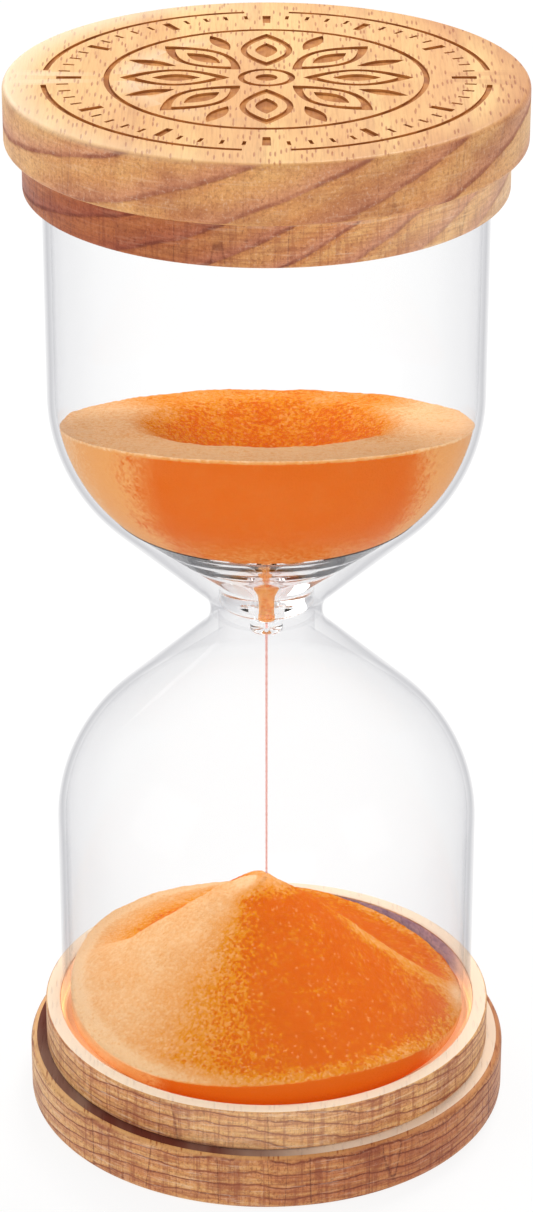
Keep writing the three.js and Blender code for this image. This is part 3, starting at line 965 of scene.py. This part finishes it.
def make_stopper(material):
    """The plug in the upper bulb's filling hole: a domed head, a tapered shank and two sealing ribs."""
    head = stopper_high.x
    top = HEIGHT - stopper_low.z
    base = HEIGHT - stopper_high.z
    head_top = GLASS_END - GAP
    shank = FILL_HOLE_RADIUS - 0.25 * MM
    section = [
        (1 * MM, base),
        *arc(head - 0.4 * MM, base + 0.4 * MM, 0.4 * MM, -90, 0, 4),
        *arc(head - 0.3 * MM, head_top - 0.3 * MM, 0.3 * MM, 0, 90, 4),
        (shank, head_top),
        *arc(shank - 0.05 * MM, head_top + 1.0 * MM, 0.25 * MM, -90, 90, 6),
        *arc(shank - 0.25 * MM, head_top + 1.9 * MM, 0.25 * MM, -90, 90, 6),
        *arc(shank - 0.9 * MM, top - 0.4 * MM, 0.4 * MM, 0, 90, 4),
        (1 * MM, top),
    ]
    obj = turned("fill_stopper_plug", constant(flipped(section)), 96)
    place(obj, "fill_stopper", "silicone", material)
    finish_shading(obj)


# ---- Sand ----

SAND_DEEP = rgb(222, 101, 10)
SAND_GOLD = rgb(230, 142, 22)
SAND_WARM = rgb(236, 165, 96)
SAND_PALE = rgb(246, 201, 150)
SAND_RED = rgb(204, 80, 4)
STREAM = rgb(238, 190, 184)
GRAIN = 0.36 * MM


def sand(name, speckle):
    """Dyed quartz sand. A paleness attribute says where it is paler, partly dust and partly painted light and
    shade, and 'packed' where glass presses it.

    speckle is how much the single grains differ where it is pale.
    """
    tree = Tree(name)
    # Paleness: partly dust, partly painted light and shade.
    dust_and_painted_light = tree.add("Attribute", attribute_name="dust_and_painted_light").outputs["Fac"]
    packed = tree.add("Attribute", attribute_name="packed").outputs["Fac"]
    plain = tree.math("MULTIPLY", packed, tree.smooth(dust_and_painted_light, 0.05, 0.4, 0.92, 0.45))
    loose = tree.math("SUBTRACT", 1.0, plain)
    grains = tree.voronoi(tree.millimetres(), MM / GRAIN)
    random = tree.add("SeparateColor", {0: grains.outputs["Color"]})
    drift = tree.noise(tree.millimetres((1, 1, 1.6)), 0.16, 3.0, 0.55)
    fine = tree.noise(tree.millimetres(), 1.1, 3.0, 0.7)
    uneven = tree.math("ADD", tree.smooth(drift, 0.3, 0.7, -0.1, 0.1), tree.smooth(fine, 0.3, 0.7, -0.1, 0.1))
    own = tree.math("MULTIPLY", tree.math("SUBTRACT", random.outputs[0], 0.62), tree.smooth(dust_and_painted_light, 0.35, 0.8, 0.44, speckle))
    uneven = tree.math("MULTIPLY", uneven, tree.smooth(dust_and_painted_light, 0.4, 0.8, 1.0, 0.4))
    dust_and_light = tree.math("ADD", dust_and_painted_light, tree.math("MULTIPLY", tree.math("ADD", uneven, own), loose))
    colour = tree.mix(tree.smooth(dust_and_light, 0.03, 0.34), SAND_DEEP, tree.mix(packed, SAND_GOLD, SAND_WARM))
    colour = tree.mix(tree.smooth(dust_and_light, 0.28, 0.66), colour, SAND_WARM)
    colour = tree.mix(tree.smooth(dust_and_light, 0.6, 1.0), colour, SAND_PALE)
    dark = tree.math("MULTIPLY", tree.smooth(random.outputs[1], 0.7, 0.98, 0.0, 0.4), loose)
    dark = tree.math("MULTIPLY", dark, tree.smooth(dust_and_painted_light, 0.2, 0.7, 1.0, 0.15))
    colour = tree.mix(dark, colour, SAND_RED)
    glint = tree.math("MULTIPLY", tree.smooth(random.outputs[2], 0.93, 0.99, 0.0, 0.5), loose)
    colour = tree.mix(glint, colour, SAND_WARM)
    height = tree.smooth(grains.outputs["Distance"], 0.0, 0.8, 1.0, 0.0)
    tree.principled(
        Base_Color=colour,
        Roughness=tree.smooth(random.outputs[2], 0.0, 1.0, 0.7, 0.98),
        Specular_IOR_Level=0.06,
        Normal=tree.bump(height, 0.2 * MM, 0.28),
    )
    return tree.material


def upper_height(x, y):
    """Height of the upper sand over the mid-plane."""
    radius = math.hypot(x, y)
    share = max(0.0, 1 - radius / CRATER_RADIUS)
    rounded = share * share / (share + 0.12) * 1.12
    return UPPER_LEVEL - UPPER_TILT * y - CRATER_DEPTH * rounded


def upper_sand_section(angle, wall_steps=60, surface_steps=62):
    x, y = math.sin(angle), -math.cos(angle)
    rim_height = upper_height(x * INNER_RADIUS, y * INNER_RADIUS)
    foot = BLOCK_TOP + 0.1 * MM
    bowl = [(r - 0.1 * MM, h + 0.1 * MM) for r, h in eased(BOWL)[::-1]]
    wall = []
    for step in range(wall_steps + 1):
        height = foot + (rim_height - foot) * step / wall_steps
        wall.append((inner_radius(height) - SAND_CLEARANCE, height))
    rim = wall[-1][0]
    surface = []
    for step in range(1, surface_steps):
        radius = rim * (1 - step / surface_steps)
        surface.append((radius, upper_height(x * radius, y * radius)))
    spout = [
        (0.2 * MM, FEED_BOTTOM + 0.1 * MM),
        (FEED_RADIUS - 0.1 * MM, FEED_BOTTOM + 0.4 * MM),
        (FEED_RADIUS - 0.1 * MM, FEED_TOP),
        (FEED_RADIUS + 0.1 * MM, FEED_TOP + 1.2 * MM),
        (FEED_RADIUS + 0.75 * MM, FEED_TOP + 3.5 * MM),
    ]
    return spout + bowl + wall + surface


def pile_wall_height(angle):
    waves = (
        cosine * math.cos(turns * angle) + sine * math.sin(turns * angle)
        for turns, (cosine, sine) in enumerate(PILE_RIPPLES, 1)
    )
    return PILE_WALL_HEIGHT + sum(waves)


def pile_hollowness(angle):
    back = smoothstep(BACK_STARTS, BACK_FULL, -math.cos(angle))
    return FRONT_HOLLOWNESS + (BACK_HOLLOWNESS - FRONT_HOLLOWNESS) * back


def pile_height(radius, angle):
    """Height of the pile's surface: from the crown, left of the axis, its flanks fall to the glass."""
    wall_radius = INNER_RADIUS - SAND_CLEARANCE
    share = radius / wall_radius
    x = radius * math.sin(angle) + CROWN_OFFSET * (1 - share)
    front = radius * math.cos(angle)
    crown_angle = math.atan2(x, front)
    crown_share = min(1.0, math.hypot(x, front) / wall_radius)
    blunted = math.hypot(crown_share, CROWN_BLUNTNESS) - CROWN_BLUNTNESS
    fallen = blunted / (math.hypot(1, CROWN_BLUNTNESS) - CROWN_BLUNTNESS)
    top = pile_wall_height(crown_angle)
    return top + (PILE_APEX - top) * (1 - fallen) ** pile_hollowness(crown_angle)


def lower_sand_section(angle, wall_steps=30, surface_steps=70):
    wall_radius = INNER_RADIUS - SAND_CLEARANCE
    top = pile_wall_height(angle)
    heel = HEEL_RADIUS - END_WALL
    corner = arc(wall_radius - heel, SAND_FLOOR + heel, heel, -90, 0, 5)
    wall = [
        (wall_radius, corner[-1][1] + (top - corner[-1][1]) * step / wall_steps)
        for step in range(1, wall_steps + 1)
    ]
    radii = [wall_radius * (1 - step / surface_steps) for step in range(1, surface_steps)]
    surface = [(radius, pile_height(radius, angle)) for radius in radii]
    return [(0.5 * wall_radius, SAND_FLOOR), *corner, *wall, *surface]


def roughen(obj, amount_at):
    """Moves each vertex along its normal by grain-sized noise, times amount_at(vertex)."""
    mesh = obj.data
    moved = []
    for vertex in mesh.vertices:
        p = vertex.co / MM
        grain = noise.noise(p * 2.3) * 0.6 + noise.noise(p * 5.1 + Vector((7, 3, 1))) * 0.4
        slump = noise.noise(p * 0.22 + Vector((2, 9, 5)))
        step = (0.16 * grain + 0.3 * slump) * MM * amount_at(vertex.co)
        moved.append(vertex.co + vertex.normal * step)
    for vertex, place_now in zip(mesh.vertices, moved):
        vertex.co = place_now
    mesh.update()


def paint(obj, name, value_at):
    layer = obj.data.attributes.new(name, "FLOAT", "POINT")
    layer.data.foreach_set("value", [value_at(v.co) for v in obj.data.vertices])


def smoothstep(low, high, value):
    share = min(max((value - low) / (high - low), 0.0), 1.0)
    return share * share * (3 - 2 * share)


def wall_share(point, wall_radius):
    """1 where the sand lies against a wall of that radius, 0 a millimetre inside it."""
    return smoothstep(1.0 * MM, 0.25 * MM, wall_radius - math.hypot(point.x, point.y))


def make_upper_sand():
    obj = turned("sand_upper_grains", upper_sand_section, 300, lift=MIDDLE)

    def is_wall(point):
        height = point.z - MIDDLE
        against = wall_share(point, inner_radius(height) - SAND_CLEARANCE)
        against = max(against, smoothstep(0.2 * MM, 0.0, height - BLOCK_TOP))
        below_surface = smoothstep(0.1 * MM, 0.5 * MM, upper_height(point.x, point.y) - height)
        return against * below_surface

    # Paleness, partly dust and partly painted light: paler towards the left for a painted haze of light, and paler
    # out on the flat round the crater, towards the right and the front, and where the sand is pressed to the glass
    # at the sides.
    def dust_and_painted_light_at(point):
        radius = math.hypot(point.x, point.y)
        flat = smoothstep(0.72, 1.02, radius / CRATER_RADIUS)
        behind = smoothstep(0.35, 0.8, point.y / radius) if radius > MM else 0.0
        left = smoothstep(-0.35, -0.85, point.x / INNER_RADIUS)
        right = smoothstep(0.45, 0.9, point.x / INNER_RADIUS)
        front = smoothstep(-0.5, -0.9, point.y / radius) * flat if radius > MM else 0.0
        on_wall = is_wall(point)
        throat = smoothstep(0.5 * MM, -1 * MM, point.z - MIDDLE - BOWL[2][1])
        sideways = point.x / max(radius, MM)
        open_sand = 0.2 + 0.58 * flat * (1 - 0.6 * behind) + 0.18 * left + 0.3 * right + 0.26 * front
        open_sand = min(1.0, open_sand)
        pressed = 0.08 + 0.75 * smoothstep(-0.46, -1.0, sideways) + 0.64 * smoothstep(0.62, 0.99, sideways)
        pressed += 0.12 * smoothstep(24 * MM, BLOCK_TOP, point.z - MIDDLE)
        return max(0.28 * throat, (1 - on_wall) * open_sand + on_wall * pressed)

    paint(obj, "packed", is_wall)
    paint(obj, "dust_and_painted_light", dust_and_painted_light_at)
    roughen(obj, lambda p: 0.05 + 0.95 * (1 - is_wall(p)))
    place(obj, "sand_upper", "sand", sand("sand_upper_dyed", 0.32))
    finish_shading(obj, 60)


def make_lower_sand():
    obj = turned("sand_lower_grains", lower_sand_section, 300)
    wall_radius = INNER_RADIUS - SAND_CLEARANCE

    def is_wall(point):
        angle = math.atan2(point.x, -point.y)
        below = smoothstep(0.1 * MM, 0.5 * MM, pile_wall_height(angle) - point.z)
        return wall_share(point, wall_radius) * below

    def dust_and_painted_light_at(point):
        """Paler on the left, partly dust and partly a painted haze of light; a painted shade in the valley behind
        the left ridge, a painted golden highlight along the right ridge, and paler near the wall and at the crown.
        """
        radius = math.hypot(point.x, point.y)
        share = radius / INNER_RADIUS
        turn = math.degrees(math.atan2(point.x + CROWN_OFFSET * (1 - share), -point.y))
        left = smoothstep(14, -62, turn) * smoothstep(-200, -140, turn)
        painted_valley_shade = smoothstep(-101, -109, turn) * smoothstep(1.0, 0.45, share)
        margin = smoothstep(0.9, 0.985, share) * 0.4
        painted_ridge_highlight = math.exp(-(((turn - 90) / 9) ** 2)) * smoothstep(0.15, 0.5, share) * 0.5
        crown = smoothstep(0.2, 0.04, share) * 0.6
        open_sand = min(1.0, 0.02 + 0.8 * left * (1 - 0.95 * painted_valley_shade) + margin + painted_ridge_highlight + crown)
        sideways = point.x / max(radius, MM)
        pressed = 0.85 * smoothstep(-0.4, -0.85, sideways) + 0.45 * smoothstep(0.7, 0.95, sideways)
        on_wall = is_wall(point)
        return (1 - on_wall) * open_sand + on_wall * pressed

    paint(obj, "packed", is_wall)
    paint(obj, "dust_and_painted_light", dust_and_painted_light_at)
    roughen(obj, lambda p: 0.05 + 0.95 * (1 - is_wall(p)) * smoothstep(0.0, 1.0, (p.z - SAND_FLOOR) / MM))
    place(obj, "sand_lower", "sand", sand("sand_lower_dyed", 0.14))
    finish_shading(obj, 60)


def falling_sand():
    """Grains seen one by one against the light look paler than the same grains in a heap."""
    tree = Tree("sand_falling")
    beads = tree.noise(tree.millimetres((1, 1, 3)), 1.0, 2.0, 0.7)
    colour = tree.mix(tree.smooth(beads, 0.35, 0.65), STREAM, rgb(226, 160, 148))
    tree.principled(Base_Color=colour, Roughness=tree.smooth(beads, 0.3, 0.7, 0.6, 0.9))
    return tree.material


def make_stream():
    """A thread of falling grains: a knotted core that swells a little where it speeds up and thins."""
    rows = 260
    section = []
    for row in range(rows + 1):
        share = row / rows
        height = STREAM_BOTTOM + (STREAM_TOP - STREAM_BOTTOM) * share
        knots = noise.noise(Vector((0, 0, height / MM * 3.1)))
        section.append(((0.15 + 0.03 * share + 0.04 * knots) * MM, height))
    obj = turned("sand_stream_grains", constant(section), 10)
    place(obj, "sand_stream", "sand", falling_sand())
    finish_shading(obj, 60)


# ---- Studio ----

FLOOR_HALF = 6.0


def make_floor():
    half = FLOOR_HALF
    corners = [(-half, -half, 0), (half, -half, 0), (half, half, 0), (-half, half, 0)]
    floor = new_object("floor", corners, [(0, 1, 2, 3)])
    tree = Tree("studio_floor")
    glow = tree.add("Emission", {"Color": (1, 1, 1, 1), "Strength": 0.86})
    matt = tree.add("BsdfDiffuse", {"Color": (0.13, 0.13, 0.13, 1)})
    both = tree.add("AddShader", {0: glow.outputs[0], 1: matt.outputs[0]})
    tree.feed(tree.output.inputs[0], both.outputs[0])
    floor.data.materials.append(tree.material)
    floor.location.z = -0.05 * MM


def make_world():
    world = bpy.data.worlds.new("studio")
    world.use_nodes = True
    bpy.context.scene.world = world
    nodes, links = world.node_tree.nodes, world.node_tree.links
    nodes.clear()
    lit = nodes.new("ShaderNodeBackground")
    lit.inputs["Color"].default_value = (1, 1, 1, 1)
    lit.inputs["Strength"].default_value = 0.6
    seen = nodes.new("ShaderNodeBackground")
    seen.inputs["Color"].default_value = (1, 1, 1, 1)
    mirrored = nodes.new("ShaderNodeBackground")
    mirrored.inputs["Color"].default_value = (1, 1, 1, 1)
    mirrored.inputs["Strength"].default_value = 0.8
    path = nodes.new("ShaderNodeLightPath")
    sharp = nodes.new("ShaderNodeMixShader")
    clear = nodes.new("ShaderNodeMath")
    clear.operation = "MAXIMUM"
    both = nodes.new("ShaderNodeMixShader")
    output = nodes.new("ShaderNodeOutputWorld")
    links.new(path.outputs["Is Glossy Ray"], sharp.inputs[0])
    links.new(lit.outputs[0], sharp.inputs[1])
    links.new(mirrored.outputs[0], sharp.inputs[2])
    links.new(path.outputs["Is Camera Ray"], clear.inputs[0])
    links.new(path.outputs["Is Transmission Ray"], clear.inputs[1])
    links.new(clear.outputs[0], both.inputs[0])
    links.new(sharp.outputs[0], both.inputs[1])
    links.new(seen.outputs[0], both.inputs[2])
    links.new(both.outputs[0], output.inputs[0])


def add_lamp(name, place_at, size, watts, colour=(1, 1, 1)):
    lamp = bpy.data.lights.new(name, "AREA")
    lamp.shape = "RECTANGLE"
    lamp.size, lamp.size_y = size
    lamp.energy = watts
    lamp.color = colour
    obj = bpy.data.objects.new(name, lamp)
    obj.location = place_at
    aim = Vector((0, 0, MIDDLE)) - Vector(place_at)
    obj.rotation_euler = aim.to_track_quat("-Z", "Y").to_euler()
    bpy.context.scene.collection.objects.link(obj)


def make_camera():
    """Standing in front and looking down at the middle of the timer, as the photograph does."""
    camera = bpy.data.cameras.new("camera")
    camera.sensor_width = 36
    camera.lens = 112.9
    obj = bpy.data.objects.new("camera", camera)
    distance, elevation = 15.32 * DISC_RADIUS, math.radians(25.65)
    aim = MIDDLE + 0.25 * MM
    obj.location = (0, -distance * math.cos(elevation), aim + distance * math.sin(elevation))
    obj.rotation_euler = (math.pi / 2 - elevation, 0, 0)
    bpy.context.scene.collection.objects.link(obj)
    bpy.context.scene.camera = obj


def make_studio():
    make_floor()
    make_world()
    add_lamp("key", (0.14, 0.36, 0.66), (0.22, 0.22), 2.9, (1, 0.985, 0.96))
    add_lamp("left_fill", (-0.7, -0.35, 0.35), (0.5, 0.6), 1.7)
    add_lamp("front_fill", (0.1, -0.95, 0.14), (0.7, 0.4), 1.7)
    add_lamp("right_fill", (0.75, -0.45, 0.3), (0.4, 0.5), 1.2)
    add_lamp("left_rim", (-0.45, 0.8, 0.5), (0.5, 0.4), 2.1)
    make_camera()
    scene = bpy.context.scene
    scene.view_settings.view_transform = "Standard"
    scene.cycles.max_bounces = 24
    scene.cycles.transmission_bounces = 24
    scene.cycles.transparent_max_bounces = 24


make_caps()
make_glass()
make_soft_pieces()
make_upper_sand()
make_lower_sand()
make_stream()
make_studio()
